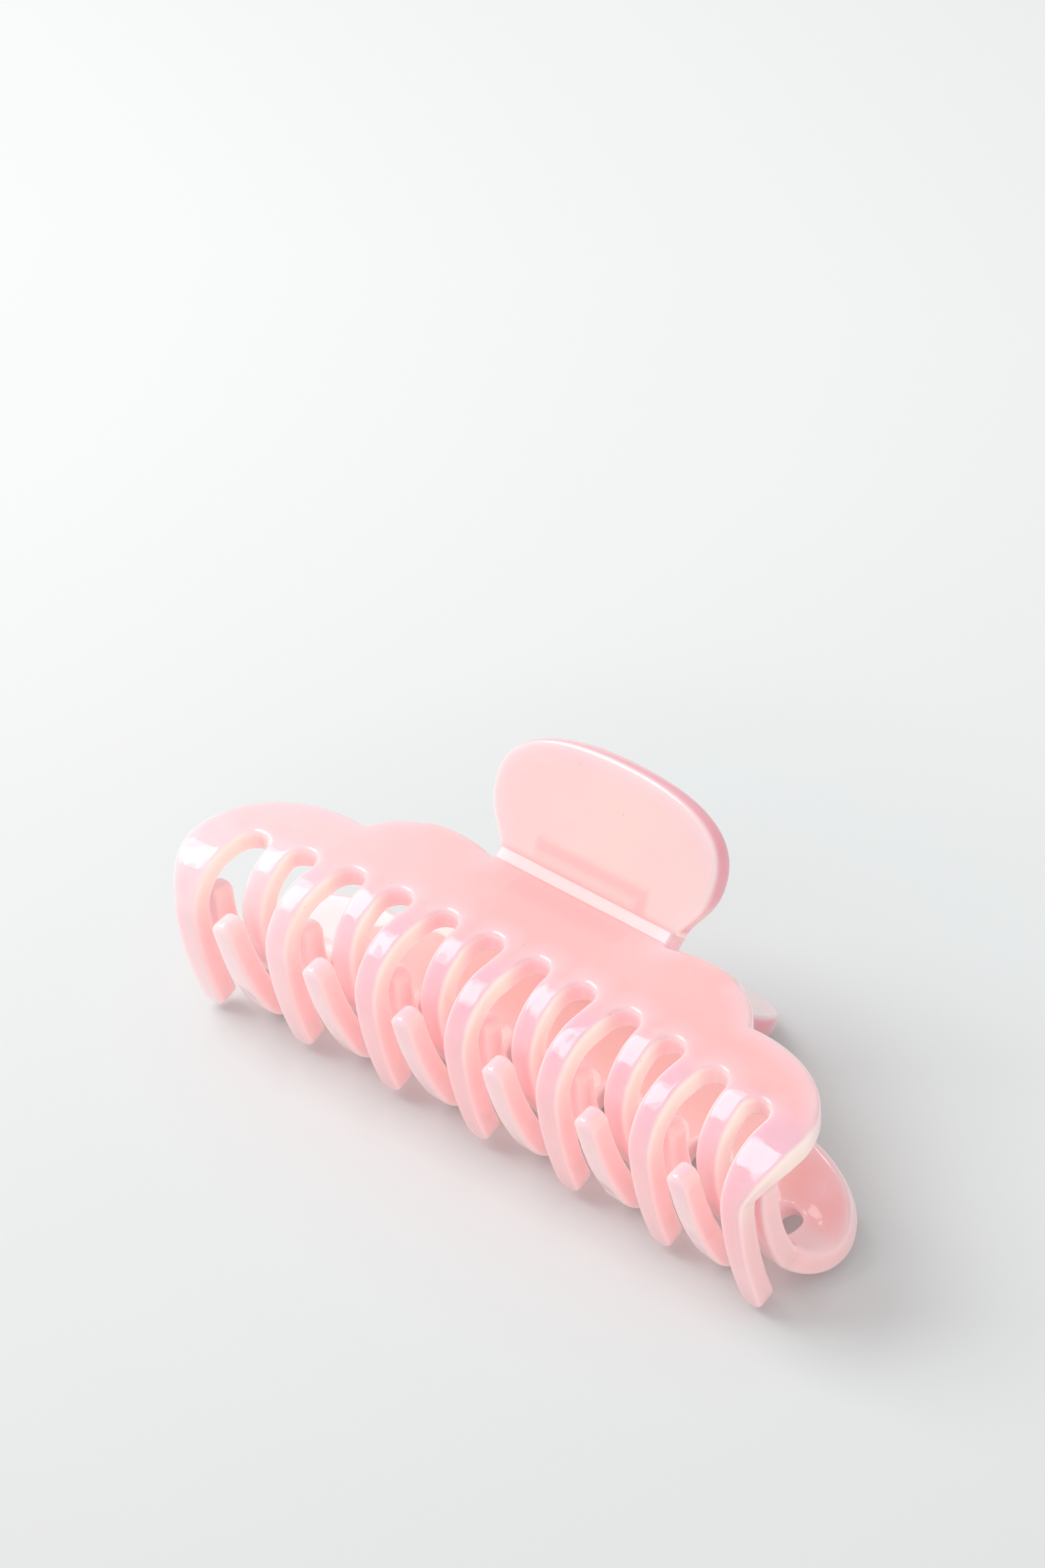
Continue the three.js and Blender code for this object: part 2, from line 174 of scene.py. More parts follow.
def bend(x, s, outer_share, depth):
    """Carries pattern points (x, s) at a depth under the outside onto the jaw: the point of the
    side line at s, less depth times its normal (-sin h, cos h), mixed between the two rows by
    outer_share. What is in front of the crease is then shifted forward along the plate, with the
    square of how far x is past the neck, and what is below the pin's height is stretched
    downward, with the square of x."""
    u = np.zeros_like(x)
    v = np.zeros_like(x)
    for row, share in (("outer", outer_share), ("inner", 1 - outer_share)):
        line_s, line_u, line_v, line_h = LINES[row]
        past = np.maximum(s - line_s[-1], 0)
        h = np.interp(s, line_s, line_h)
        u += share * (np.interp(s, line_s, line_u) + past * np.cos(h) + depth * np.sin(h))
        v += share * (np.interp(s, line_s, line_v) + past * np.sin(h) - depth * np.cos(h))
    past_neck = np.maximum(0, np.abs(x) - NECK) / (END_X - NECK)
    shift = HEAD_CURVE * past_neck**2 * (s > 0)
    v = np.where(v < 0, v * (1 + END_STRETCH * (x / END_X) ** 2), v)
    return np.stack([x, u + shift * np.cos(PLATE_RISE), v + shift * np.sin(PLATE_RISE)], -1)


def in_frame(points, up):
    """Places (x, forward, up) points of a jaw in the frame: the lower jaw is the upper one with
    its height negated, and both are tipped by TIP about the pin."""
    x, u, v = points.T
    v = v * up
    back = -(u + CREASE_TO_PIN)
    y = PIN[0] + back * np.cos(TIP) - v * np.sin(TIP)
    z = PIN[1] + back * np.sin(TIP) + v * np.cos(TIP)
    return np.stack([x, y, z], -1) * MM


# ---- the flat pattern of half a jaw ----

GAP_STEPS = 10  # round a slot's closed end
TOOTH_STEPS = 6  # across a tooth
PLATE_ROWS = 14
TOOTH_ROWS = 40
PADDLE_ROWS = 16
FILLET_ROWS = 12
NECK_IN = NECK - EDGE_ROUND
WELD_DIGITS = 3  # points that agree to this many decimals of a millimetre are one
# Where the outlines of plate and paddle are cut in two, to make sides of a patch: at the point
# nearest this x that is less far forward, or higher up the paddle, than the second number.
PLATE_CORNER, PLATE_CORNER_BELOW = 51.2, 14.0
PADDLE_CORNER, PADDLE_CORNER_ABOVE = 15.6, 12.0


def slot_root(x):
    """How far in front of the crease a slot closes: a root that deepens with the square of x."""
    return SLOT_ROOT + (SLOT_ROOT_ENDS - SLOT_ROOT) * (x / END_X) ** 2


def inset(line, by):
    """A line moved sideways by a distance, to the right of its direction of travel."""
    step = np.gradient(line, axis=0)
    step /= np.linalg.norm(step, axis=1)[:, None]
    return line + by * np.stack([step[:, 1], -step[:, 0]], -1)


def lobe_line(lobe_end):
    """The right-hand edge of the plate from the neck round both lobes to the end tooth's side:
    three cubic curves in (x, u). The last two meet at the clip's greatest length, 0.48 of the way
    from the notch to the lobe's end."""
    def past_notch(share):
        return NOTCH_DEPTH + share * (lobe_end - NOTCH_DEPTH)

    notch = (NOTCH_X, NOTCH_DEPTH)
    small = bezier([(NECK, FILLET_HALF), (27.0, -1.0), (32.8, 1.0), notch], 60)
    large = bezier([notch, (44.2, 4.9), (HALF_LENGTH - 1.2, 8), (HALF_LENGTH, past_notch(0.48))], 80)
    last = bezier([large[-1], (HALF_LENGTH + 0.4, past_notch(0.7)), (HALF_LENGTH - 1, past_notch(0.87)),
                   (END_SIDE, lobe_end)], 60)
    return np.vstack([small, large[1:], last[1:]])


def root_line(first_outer):
    """The front edge of the plate, with a half circle of gap width at each slot, as x, u and the
    share of the outer row, and for each tooth the range of its columns and its row."""
    half_tooth = TOOTH_WIDTH / 2 - EDGE_ROUND
    opening = HALF_GAP + EDGE_ROUND
    turn = np.linspace(np.pi, 0, GAP_STEPS + 1)
    middle = TOOTH_COUNT // 2
    x, u, share, teeth = [], [], [], []
    for k in range(middle, TOOTH_COUNT):
        centre = (k - middle) * TOOTH_PITCH
        outer = 1.0 if (k % 2 == 0) == first_outer else 0.0
        left = slot_root(centre - TOOTH_PITCH / 2) + HALF_GAP
        right = slot_root(min(centre + TOOTH_PITCH / 2, END_X)) + HALF_GAP
        columns = np.linspace(-half_tooth, half_tooth, TOOTH_STEPS + 1)
        if k == middle:
            columns = columns[TOOTH_STEPS // 2:]
        teeth.append((len(x), len(x) + len(columns), outer))
        x += list(centre + columns)
        u += list(left + (right - left) * (columns + half_tooth) / (2 * half_tooth))
        share += [outer] * len(columns)
        if k < TOOTH_COUNT - 1:
            slot_x = centre + TOOTH_PITCH / 2
            root = slot_root(slot_x) + HALF_GAP
            inner_turn = turn[1:-1]
            x += list(slot_x + opening * np.cos(inner_turn))
            u += list(root - opening * np.sin(inner_turn))
            ramp = 0.5 - 0.5 * np.cos(inner_turn + np.pi)
            share += list(outer + (1 - 2 * outer) * ramp)
    return np.array(x), np.array(u), np.array(share), teeth


def coons(rear, front, left, right, across, down):
    """Fills a four-sided patch: the mix of rear and front by down, plus the mix of left and right
    by across, less the mix of the four corners."""
    a, d = across[None, :, None], down[:, None, None]
    corners = ((1 - a) * (1 - d) * rear[0] + a * (1 - d) * rear[-1]
               + (1 - a) * d * front[0] + a * d * front[-1])
    return (1 - d) * rear + d * front + (1 - a) * left[:, None] + a * right[:, None] - corners


def plate_grid(x, u, share, spread, lobes):
    """The plate between its front edge and the lobes, as (x, s, outer share): a four-sided patch
    whose left side is the clip's middle. The end tooth's columns, whose spread is given as shares
    of its width, are first moved in x out to the lobe's side. Also gives that side, and the x of
    the columns that meet the neck."""
    corner = int(np.argmin(np.abs(lobes[:, 0] - PLATE_CORNER) + 100 * (lobes[:, 1] > PLATE_CORNER_BELOW)))
    beside = lobes[corner:]
    beside = beside[np.argsort(beside[:, 1])]
    side_u = np.linspace(lobes[corner, 1], u[-1], PLATE_ROWS + 1)
    right = np.stack([np.interp(side_u, beside[:, 1], beside[:, 0]), side_u], -1)
    end_tooth = x[-len(spread):]
    end_tooth[:] = end_tooth[0] + spread * (right[-1, 0] - end_tooth[0])
    behind = lobes[:corner + 1]
    neck_column = int(np.argmin(np.abs(x - NECK_IN)))
    rear_x = np.where(x <= x[neck_column], x * NECK_IN / x[neck_column],
                      NECK_IN + (x - x[neck_column]) * (behind[-1, 0] - NECK_IN)
                      / (x[-1] - x[neck_column]))
    order = np.argsort(behind[:, 0])
    rear_u = np.interp(rear_x, behind[order, 0], behind[order, 1])
    rear_u[:neck_column + 1] = FILLET_HALF * np.cos(PLATE_RISE)
    down = np.linspace(0, 1, PLATE_ROWS + 1)
    left = np.stack([np.zeros(PLATE_ROWS + 1), rear_u[0] + (u[0] - rear_u[0]) * down], -1)
    plate = coons(np.stack([rear_x, rear_u], -1), np.stack([x, u], -1), left, right, x / x[-1], down)
    share = np.broadcast_to(share, plate.shape[:2])
    s = share * s_of(plate[..., 1], "outer") + (1 - share) * s_of(plate[..., 1], "inner")
    return np.stack([plate[..., 0], s, share], -1), beside, rear_x[:neck_column + 1]


def tooth_grid(x, start_s, outer, beside, spread=None):
    """One tooth from the plate's front edge to its tip. Its s grows evenly from the edge to a tip
    that is TIP_ROUND shorter at its sides, with the cube of the offset from its middle, and it
    narrows by TIP_TAPER with the cube of the way down. The end tooth, which has a spread, follows
    the end lobe's side line with its outer side; the middle tooth is half a tooth."""
    row = "outer" if outer else "inner"
    centre = round(np.mean(x) / TOOTH_PITCH) * TOOTH_PITCH
    if spread is None:
        offset = np.clip(np.abs((x - centre) / (TOOTH_WIDTH / 2 - EDGE_ROUND)), 0, 1)
    else:
        offset = np.abs(2 * spread - 1)
    tip_s = TIP_S[row] - EDGE_ROUND - TIP_ROUND * offset**3
    way = np.linspace(0, 1, TOOTH_ROWS + 1)[:, None]
    s = start_s + (tip_s - start_s) * way
    tooth_x = np.broadcast_to(x, s.shape).copy()
    if spread is not None:
        line_s, line_u, _, _ = LINES[row]
        edge = np.interp(np.interp(s[:, -1], line_s, line_u), beside[:, 1], beside[:, 0])
        edge = np.where(s[:, -1] > s_of(beside[-1, 1], row), END_SIDE - EDGE_ROUND, edge)
        tooth_x = x[0] + spread * (edge[:, None] - x[0])
        tooth_x[0] = x
    middle_x = (tooth_x[:, :1] + tooth_x[:, -1:]) / 2 if centre else 0.0
    tooth_x = middle_x + (tooth_x - middle_x) * (1 - TIP_TAPER * way**3)
    return np.stack([tooth_x, s, np.full(s.shape, outer)], -1)


def paddle_grids(neck_x, share, plate_s):
    """The crease's strip with its two arcs, and the paddle above it: a four-sided patch between
    the crease, the clip's middle, and the paddle's outline cut into a side and a top."""
    rows = (FILLET_ROWS + 1, len(neck_x))
    turn_s = np.linspace(-FILLET_LENGTH / 2, plate_s, FILLET_ROWS + 1)
    crease = np.stack([np.broadcast_to(neck_x, rows), np.broadcast_to(turn_s[:, None], rows),
                       np.broadcast_to(share, rows)], -1)
    widest = (PADDLE_HALF_WIDTH, PADDLE_WIDEST_AT)
    above = bezier([(NECK, 0.6), (17.2, 3.4), (PADDLE_HALF_WIDTH, 5), widest], 60)
    over = bezier([widest, (PADDLE_HALF_WIDTH, 16), (14.5, PADDLE_HEIGHT), (0, PADDLE_HEIGHT)], 90)
    outline = inset(np.vstack([above, over[1:]]), -EDGE_ROUND)
    corner = int(np.argmin(np.abs(outline[:, 0] - PADDLE_CORNER)
                           + 100 * (outline[:, 1] < PADDLE_CORNER_ABOVE)))
    up = along(outline[:corner + 1], np.linspace(0, 1, PADDLE_ROWS + 1))
    up[0] = (neck_x[-1], FILLET_HALF)
    across = neck_x / neck_x[-1]
    top = along(outline[corner:][::-1], across)
    foot = np.stack([neck_x, np.full_like(neck_x, FILLET_HALF)], -1)
    middle = np.stack([np.zeros(PADDLE_ROWS + 1), np.linspace(FILLET_HALF, top[0, 1], PADDLE_ROWS + 1)], -1)
    paddle = coons(foot, top, middle, up, across, np.linspace(0, 1, PADDLE_ROWS + 1))
    s = -FILLET_LENGTH / 2 - (paddle[..., 1] - FILLET_HALF)
    return [crease, np.stack([paddle[..., 0], s, np.broadcast_to(share, s.shape)], -1)[::-1]]


def half_pattern(first_outer):
    """Grids of (x, s, outer share) that cover the right half of a jaw, less a rim of EDGE_ROUND."""
    run = ROWS["outer" if first_outer else "inner"][0]
    lobe_end = (run * np.cos(PLATE_RISE) + CROWN_RADIUS
                * (np.sin(PLATE_RISE) + np.sin(CROWN_TURN - PLATE_RISE)) - LOBE_STOP)
    lobes = inset(lobe_line(lobe_end), -EDGE_ROUND)
    x, u, share, teeth = root_line(first_outer)
    end_first = teeth[-1][0]
    spread = (x[end_first:] - x[end_first]) / (x[-1] - x[end_first])
    plate, beside, neck_x = plate_grid(x, u, share, spread, lobes)
    grids = [plate]
    for first, last, outer in teeth:
        grids.append(tooth_grid(x[first:last], plate[-1, first:last, 1], outer, beside,
                                spread if first == end_first else None))
    return grids + paddle_grids(neck_x, share[:len(neck_x)], plate[0, 0, 1])


def weld(grids):
    """Joins grids into one flat mesh: points that agree to WELD_DIGITS become one, and every grid
    cell is a four-sided face."""
    points = np.concatenate([g.reshape(-1, 3) for g in grids])
    faces, base = [], 0
    for g in grids:
        rows, columns = g.shape[:2]
        number = np.arange(rows * columns).reshape(rows, columns) + base
        faces.append(np.stack([number[:-1, :-1], number[:-1, 1:], number[1:, 1:], number[1:, :-1]],
                              -1).reshape(-1, 4))
        base += rows * columns
    key = np.round(points[:, :2], WELD_DIGITS) + 0.0  # adding 0 turns -0 into 0
    _, keep, back = np.unique(key, axis=0, return_index=True, return_inverse=True)
    return points[keep], back.reshape(-1)[np.concatenate(faces)]


def both_halves(grids):
    """The right half's grids and their mirror in x, wound the same way."""
    flip = np.array([-1, 1, 1])
    return grids + [(g * flip)[:, ::-1] for g in grids]


ROUND_STEPS = 4  # in each quarter of the rim's half-round edge
RIM_STRETCH = 1.3  # the most that the rim's step is lengthened at a corner


def rim_of(points, faces):
    """The open edges of a flat mesh, each in its face's direction, and at every point on them the
    outward normal: the sum of the two edges' normals, made 2 / its length long to keep the rim's
    width, or RIM_STRETCH long at most."""
    a = faces.reshape(-1)
    b = np.roll(faces, -1, axis=1).reshape(-1)
    low, high = np.minimum(a, b), np.maximum(a, b)
    _, index, count = np.unique(low * (len(points) + 1) + high, return_index=True, return_counts=True)
    open_edges = index[count == 1]
    a, b = a[open_edges], b[open_edges]
    step = points[b, :2] - points[a, :2]
    step /= np.linalg.norm(step, axis=1)[:, None]
    side = np.stack([step[:, 1], -step[:, 0]], -1)
    total = np.zeros((len(points), 2))
    np.add.at(total, a, side)
    np.add.at(total, b, side)
    size = np.linalg.norm(total, axis=1)
    used = size > 0
    total[used] *= (np.minimum(2 / size[used], RIM_STRETCH) / size[used])[:, None]
    return a, b, total


def plastic_at(s):
    """Thickness of the moulding: the paddle is a little thinner than the plate and teeth, and the
    thickness changes evenly with s over the crease."""
    return np.interp(s, [-FILLET_LENGTH, FILLET_LENGTH], [PADDLE_THICK, PLASTIC])


def skin(points, faces):
    """Gives a flat mesh its thickness with a round edge. Both faces are the flat mesh, and the rim
    is a half-round profile: out by r sin(a) and down by r (1 - cos a) from the top, straight down
    the side, and the same in reverse to the bottom. Returns (x, s, outer share, depth) points."""
    a, b, out = rim_of(points, faces)
    # where the faces run clockwise in (x, s), the rim's normals and the faces are turned over
    corners = points[faces[:, :3], :2]
    first, second = corners[:, 1] - corners[:, 0], corners[:, 2] - corners[:, 0]
    area = first[:, 0] * second[:, 1] - first[:, 1] * second[:, 0]
    sign = 1.0 if area.sum() > 0 else -1.0
    out = out * sign
    thick = plastic_at(points[:, 1])
    angle = np.linspace(0, np.pi / 2, ROUND_STEPS + 1)[1:]
    reach = np.r_[np.sin(angle), 1.0, np.sin(angle)[::-1]]
    top_depth = EDGE_ROUND * (1 - np.cos(angle))
    edge = np.unique(a)
    number = np.full(len(points), -1)
    number[edge] = np.arange(len(edge))
    layers = [np.c_[points, np.zeros(len(points))]]
    for k, r in enumerate(reach):
        if k < ROUND_STEPS:
            depth = np.full(len(edge), top_depth[k])
        elif k == ROUND_STEPS:
            depth = thick[edge] / 2
        else:
            depth = thick[edge] - top_depth[len(reach) - 1 - k]
        moved = points[edge, :2] + out[edge] * EDGE_ROUND * r
        layers.append(np.c_[moved, points[edge, 2], depth])
    layers.append(np.c_[points, thick])
    pattern = np.concatenate(layers)
    bottom = len(points) + len(reach) * len(edge)
    rings = [np.arange(len(points))]
    rings += [len(points) + k * len(edge) + number for k in range(len(reach))]
    rings.append(bottom + np.arange(len(points)))
    quads = [faces, faces[:, ::-1] + bottom]
    for above, below in zip(rings[:-1], rings[1:]):
        quads.append(np.stack([above[b], above[a], below[a], below[b]], -1))
    quads = np.concatenate(quads)
    if sign < 0:
        quads = quads[:, ::-1]
    return pattern, quads


def make_mesh(name, points, faces):
    """A smooth-shaded mesh object from an array of points in metres and an array of faces."""
    mesh = bpy.data.meshes.new(name)
    size = faces.shape[1]
    mesh.vertices.add(len(points))
    mesh.vertices.foreach_set("co", points.astype(np.float32).ravel())
    mesh.loops.add(faces.size)
    mesh.loops.foreach_set("vertex_index", faces.astype(np.int32).ravel())
    mesh.polygons.add(len(faces))
    mesh.polygons.foreach_set("loop_start", np.arange(0, faces.size, size, dtype=np.int32))
    mesh.update(calc_edges=True)
    mesh.validate()
    mesh.polygons.foreach_set("use_smooth", np.ones(len(mesh.polygons), bool))
    piece = bpy.data.objects.new(name, mesh)
    bpy.context.scene.collection.objects.link(piece)
    return piece


def jaw_skin(name, up):
    """One jaw: its pattern bent to shape. The upper jaw's end teeth stand in the outer row, and
    the lower jaw's in the inner row."""
    points, faces = weld(both_halves(half_pattern(first_outer=up > 0)))
    pattern, quads = skin(points, faces)
    bent = bend(pattern[:, 0], pattern[:, 1], pattern[:, 2], pattern[:, 3])
    # +x, forward and up make a left-handed set in the frame, so the upper jaw's faces are turned
    if up > 0:
        quads = quads[:, ::-1]
    return make_mesh(name, in_frame(bent, up), quads)


# ---- hinge: lugs, pad, pin and spring ----

PIN_RADIUS, PIN_CLEARANCE, PIN_OVERHANG = 1.0, 0.1, 0.4
LUG_RADIUS = 3.2
WIRE_RADIUS, COIL_RADIUS, COIL_TURNS, COIL_PITCH = 0.6, 2.3, 5, 1.4
LUG_SPANS = {"upper": (7.5, 10.0), "lower": (4.7, 7.2)}
PAD_THICK, PAD_UP_PADDLE, PAD_ALONG_PLATE = 0.6, 4.2, 3.0
PAD_STEPS, PAD_SHRINK = 60, 0.04
LUG_STEPS, LUG_EDGE = 96, 0.4
SUNK = 0.5  # how far pad and lugs reach into the plastic they are fused to
SPRING_GAP = 0.3
COIL_TO_PAD = 0.75
LEG_UP_PADDLE = 1.7  # how far past the crease each of the spring's legs runs up its paddle
WIRE_SIDES, WIRE_STEPS = 18, 900
PIN_SIDES, PIN_END_ROUND = 48, 0.3
MOULD_SHARP, PIN_SHARP = np.radians(38), np.radians(40)  # edges sharper than this are not smoothed


def grid_faces(rows, columns, round_rows=False, round_columns=False):
    """Four-sided faces over a grid of points, joined end to end where it is closed."""
    number = np.arange(rows * columns).reshape(rows, columns)
    if round_rows:
        number = np.vstack([number, number[:1]])
    if round_columns:
        number = np.hstack([number, number[:, :1]])
    faces = np.stack([number[:-1, :-1], number[:-1, 1:], number[1:, 1:], number[1:, :-1]], -1)
    return faces.reshape(-1, 4)


def under_corner(up_paddle, along_plate, depth):
    """Two points in the inner corner of paddle and plate, in (u, v): one up the paddle and one
    along the plate, both a depth under the inner faces."""
    crease = np.array([0.0, CREASE_HEIGHT])
    paddle = crease + up_paddle * np.array([-np.cos(PADDLE_ANGLE), np.sin(PADDLE_ANGLE)])
    paddle -= (PADDLE_THICK + depth) * np.array([np.sin(PADDLE_ANGLE), np.cos(PADDLE_ANGLE)])
    plate = crease + along_plate * np.array([np.cos(PLATE_RISE), np.sin(PLATE_RISE)])
    plate -= (PLASTIC + depth) * np.array([-np.sin(PLATE_RISE), np.cos(PLATE_RISE)])
    return paddle, plate


def from_pin(x, y, z):
    """Points given from the pin's axis, y back and z up in the closed clip, placed in the frame."""
    return np.stack([x, PIN[0] + y * np.cos(TIP) - z * np.sin(TIP),
                     PIN[1] + y * np.sin(TIP) + z * np.cos(TIP)], -1) * MM


def pad_slab():
    """The raised pad under the spring's legs: an L-shaped side outline in (u, v), softened by one
    averaging of neighbours and carried across the hinge, shrunk toward its middle at both ends."""
    outline = np.array([
        under_corner(PAD_UP_PADDLE, 0, -SUNK)[0], under_corner(PAD_UP_PADDLE, 0, PAD_THICK)[0],
        under_corner(PAD_THICK, 0, PAD_THICK)[0], under_corner(0, PAD_ALONG_PLATE / 2, PAD_THICK)[1],
        under_corner(0, PAD_ALONG_PLATE, PAD_THICK)[1], under_corner(0, PAD_ALONG_PLATE, -SUNK)[1]])
    ring = along(np.vstack([outline, outline[:1]]), np.arange(PAD_STEPS) / PAD_STEPS)
    ring = (np.roll(ring, 1, axis=0) + 2 * ring + np.roll(ring, -1, axis=0)) / 4
    centre = ring.mean(0)
    half = LUG_SPANS["upper"][1]
    x = np.array([-half, -half + 0.12, -half + 0.4, half - 0.4, half - 0.12, half])
    size = 1 - PAD_SHRINK * np.array([1.0, 0.3, 0.0, 0.0, 0.3, 1.0])
    side = centre + (ring - centre) * size[:, None, None]
    across = np.broadcast_to(x[:, None, None], (len(x), PAD_STEPS, 1))
    points = np.concatenate([across, side], -1).reshape(-1, 3)
    return points, tube_faces(len(x), PAD_STEPS)


def tube_faces(rings, sides):
    """The faces of a tube of rings, with one many-sided face over each end."""
    faces = grid_faces(rings, sides, round_columns=True).tolist()
    count = rings * sides
    return faces + [list(range(sides)), list(range(count - sides, count))[::-1]]


def lug_ring(low_x, high_x):
    """A lug round the pin's hole: for each angle about the pin, a closed profile that runs across
    the hole's wall, out over one cheek, across the outer wall and back over the other cheek. The
    outer wall is a circle below and two straight flanks up to the paddle and the plate."""
    paddle, plate = under_corner(PAD_UP_PADDLE, PAD_ALONG_PLATE, -SUNK)
    high = np.array([-(paddle[0] + CREASE_TO_PIN), paddle[1]])
    low = np.array([-(plate[0] + CREASE_TO_PIN), plate[1]])
    turn = np.linspace(np.pi, 2 * np.pi, 60)
    circle = LUG_RADIUS * np.stack([np.cos(turn), np.sin(turn)], -1)
    dense = along(np.vstack([[(LUG_RADIUS, 0)], [high], [low], circle]), np.linspace(0, 1, 2000))
    angle = np.unwrap(np.arctan2(dense[:, 1], dense[:, 0]))
    want = np.linspace(0, 2 * np.pi, LUG_STEPS, endpoint=False)
    outer = np.interp(want, angle, np.linalg.norm(dense, axis=1))
    hole = np.full(LUG_STEPS, PIN_RADIUS + PIN_CLEARANCE)
    flare = hole + LUG_EDGE / 2
    soft = LUG_EDGE * (1 - np.sqrt(0.5))
    radius = np.stack([hole, flare, outer - LUG_EDGE, outer - soft, outer,
                       outer, outer - soft, outer - LUG_EDGE, flare, hole], -1)
    x = np.array([low_x + LUG_EDGE / 2, low_x, low_x, low_x + soft, low_x + LUG_EDGE,
                  high_x - LUG_EDGE, high_x - soft, high_x, high_x, high_x - LUG_EDGE / 2])
    y, z = radius * np.cos(want)[:, None], radius * np.sin(want)[:, None]
    points = np.stack([np.broadcast_to(x, y.shape), y, z], -1).reshape(-1, 3)
    return points, grid_faces(LUG_STEPS, len(x), round_rows=True, round_columns=True)


def fused(jaw, extras):
    """The jaw with its pad and lugs made one body with it."""
    for extra in extras:
        join = jaw.modifiers.new("fuse", "BOOLEAN")
        join.operation, join.solver, join.object = "UNION", "EXACT", extra
    bpy.context.view_layer.update()
    seen = jaw.evaluated_get(bpy.context.evaluated_depsgraph_get())
    mesh = bpy.data.meshes.new_from_object(seen)
    jaw.modifiers.clear()
    jaw.data = mesh
    for extra in extras:
        bpy.data.objects.remove(extra)
    mesh.polygons.foreach_set("use_smooth", np.ones(len(mesh.polygons), bool))
    mesh.set_sharp_from_angle(angle=MOULD_SHARP)
    return jaw


def outward(piece):
    """Turns a closed piece's faces so that they all point out."""
    work = bmesh.new()
    work.from_mesh(piece.data)
    bmesh.ops.recalc_face_normals(work, faces=work.faces)
    work.to_mesh(piece.data)
    work.free()
    return piece


def plain_mesh(name, points, faces):
    """A mesh object from points in metres and faces of any size."""
    mesh = bpy.data.meshes.new(name)
    mesh.from_pydata(points.tolist(), [], faces)
    piece = bpy.data.objects.new(name, mesh)
    bpy.context.scene.collection.objects.link(piece)
    return outward(piece)


def jaw(name, side):
    """A whole jaw: the skin, its hinge pad and its two lugs."""
    up = 1 if side == "upper" else -1
    body = outward(jaw_skin(name, up))
    points, faces = pad_slab()
    extras = [plain_mesh(name + "_pad", in_frame(points, up), faces)]
    near, far = LUG_SPANS[side]
    for low_x, high_x in ((near, far), (-far, -near)):
        points, faces = lug_ring(low_x, high_x)
        placed = from_pin(points[:, 0], points[:, 1], points[:, 2] * up)
        extras.append(plain_mesh(name + "_lug", placed, faces.tolist()))
    return fused(body, extras)


def spring_path(count):
    """The wire's centre line, from the pin: a straight leg, a helix about the pin and a second
    leg. On the helix y = r cos(a), z = r sin(a) and x grows evenly with a; the legs leave it
    along its tangent. The lean makes each leg's tip end SPRING_GAP off its paddle's pad."""
    pad_to_pin = COIL_RADIUS + WIRE_RADIUS + COIL_TO_PAD
    leg = LEG_UP_PADDLE + CREASE_HEIGHT * np.sin(PADDLE_ANGLE) - CREASE_TO_PIN * np.cos(PADDLE_ANGLE)
    lean = (np.arcsin((pad_to_pin - SPRING_GAP - WIRE_RADIUS) / np.hypot(COIL_RADIUS, leg))
            - np.arctan2(COIL_RADIUS, leg))
    leave = PADDLE_ANGLE + lean + np.pi / 2
    sweep = 2 * leave - 2 * np.pi * (COIL_TURNS + 1)
    coil = abs(sweep) * COIL_RADIUS
    gone = np.linspace(-leg, coil + leg, count)
    share = np.clip(gone / coil, 0, 1)
    angle = -leave + sweep * share
    past = gone - share * coil
    x = COIL_PITCH * COIL_TURNS * (share - 0.5)
    y = COIL_RADIUS * np.cos(angle) + past * np.sin(angle)
    z = COIL_RADIUS * np.sin(angle) - past * np.cos(angle)
    return np.stack([x, y, z], -1)


def wire(name, path, radius):
    """A round section carried along a path, its radius closing over a quarter circle at both
    ends: point = path + r (cos(t) N + sin(t) B), with N kept square to the path and near X. A
    flat of 0.3 of the radius is left at each end."""
    step = np.gradient(path, axis=0)
    step /= np.linalg.norm(step, axis=1)[:, None]
    across = np.array([1.0, 0, 0]) - step * step[:, :1]
    across /= np.linalg.norm(across, axis=1)[:, None]
    third = np.cross(step, across)
    gone = np.r_[0, np.cumsum(np.linalg.norm(np.diff(path, axis=0), axis=1))]
    from_end = np.minimum(gone, gone[-1] - gone)
    close = np.clip(from_end / (0.5 * radius), 0, 1)
    size = radius * np.sqrt(np.clip(1 - (1 - close) ** 2, 0.09, 1))
    turn = np.linspace(0, 2 * np.pi, WIRE_SIDES, endpoint=False)
    points = (path[:, None] + size[:, None, None]
              * (np.cos(turn)[:, None] * across[:, None] + np.sin(turn)[:, None] * third[:, None]))
    piece = plain_mesh(name, from_pin(*points.reshape(-1, 3).T), tube_faces(len(path), WIRE_SIDES))
    piece.data.polygons.foreach_set("use_smooth", np.ones(len(piece.data.polygons), bool))
    return piece


def turned_pin(name):
    """The hinge pin: a radius along x, straight with its edges rounded by a quarter circle at both
    ends, turned about the pin's axis."""
    half = LUG_SPANS["upper"][1] + PIN_OVERHANG
    straight = half - PIN_END_ROUND
    bend_in = np.linspace(0, np.pi / 2, 6)
    end_x = straight + PIN_END_ROUND * np.sin(bend_in)
    end_r = PIN_RADIUS - PIN_END_ROUND + PIN_END_ROUND * np.cos(bend_in)
    between = np.linspace(-straight, straight, 12)[1:-1]
    x = np.r_[-end_x[::-1], between, end_x]
    r = np.r_[end_r[::-1], np.full(len(between), PIN_RADIUS), end_r]
    turn = np.linspace(0, 2 * np.pi, PIN_SIDES, endpoint=False)
    y, z = r[:, None] * np.cos(turn), r[:, None] * np.sin(turn)
    points = np.stack([np.broadcast_to(x[:, None], y.shape), y, z], -1).reshape(-1, 3)
    piece = plain_mesh(name, from_pin(*points.T), tube_faces(len(x), PIN_SIDES))
    piece.data.polygons.foreach_set("use_smooth", np.ones(len(piece.data.polygons), bool))
    piece.data.set_sharp_from_angle(angle=PIN_SHARP)
    return piece


# ---- finishes ----


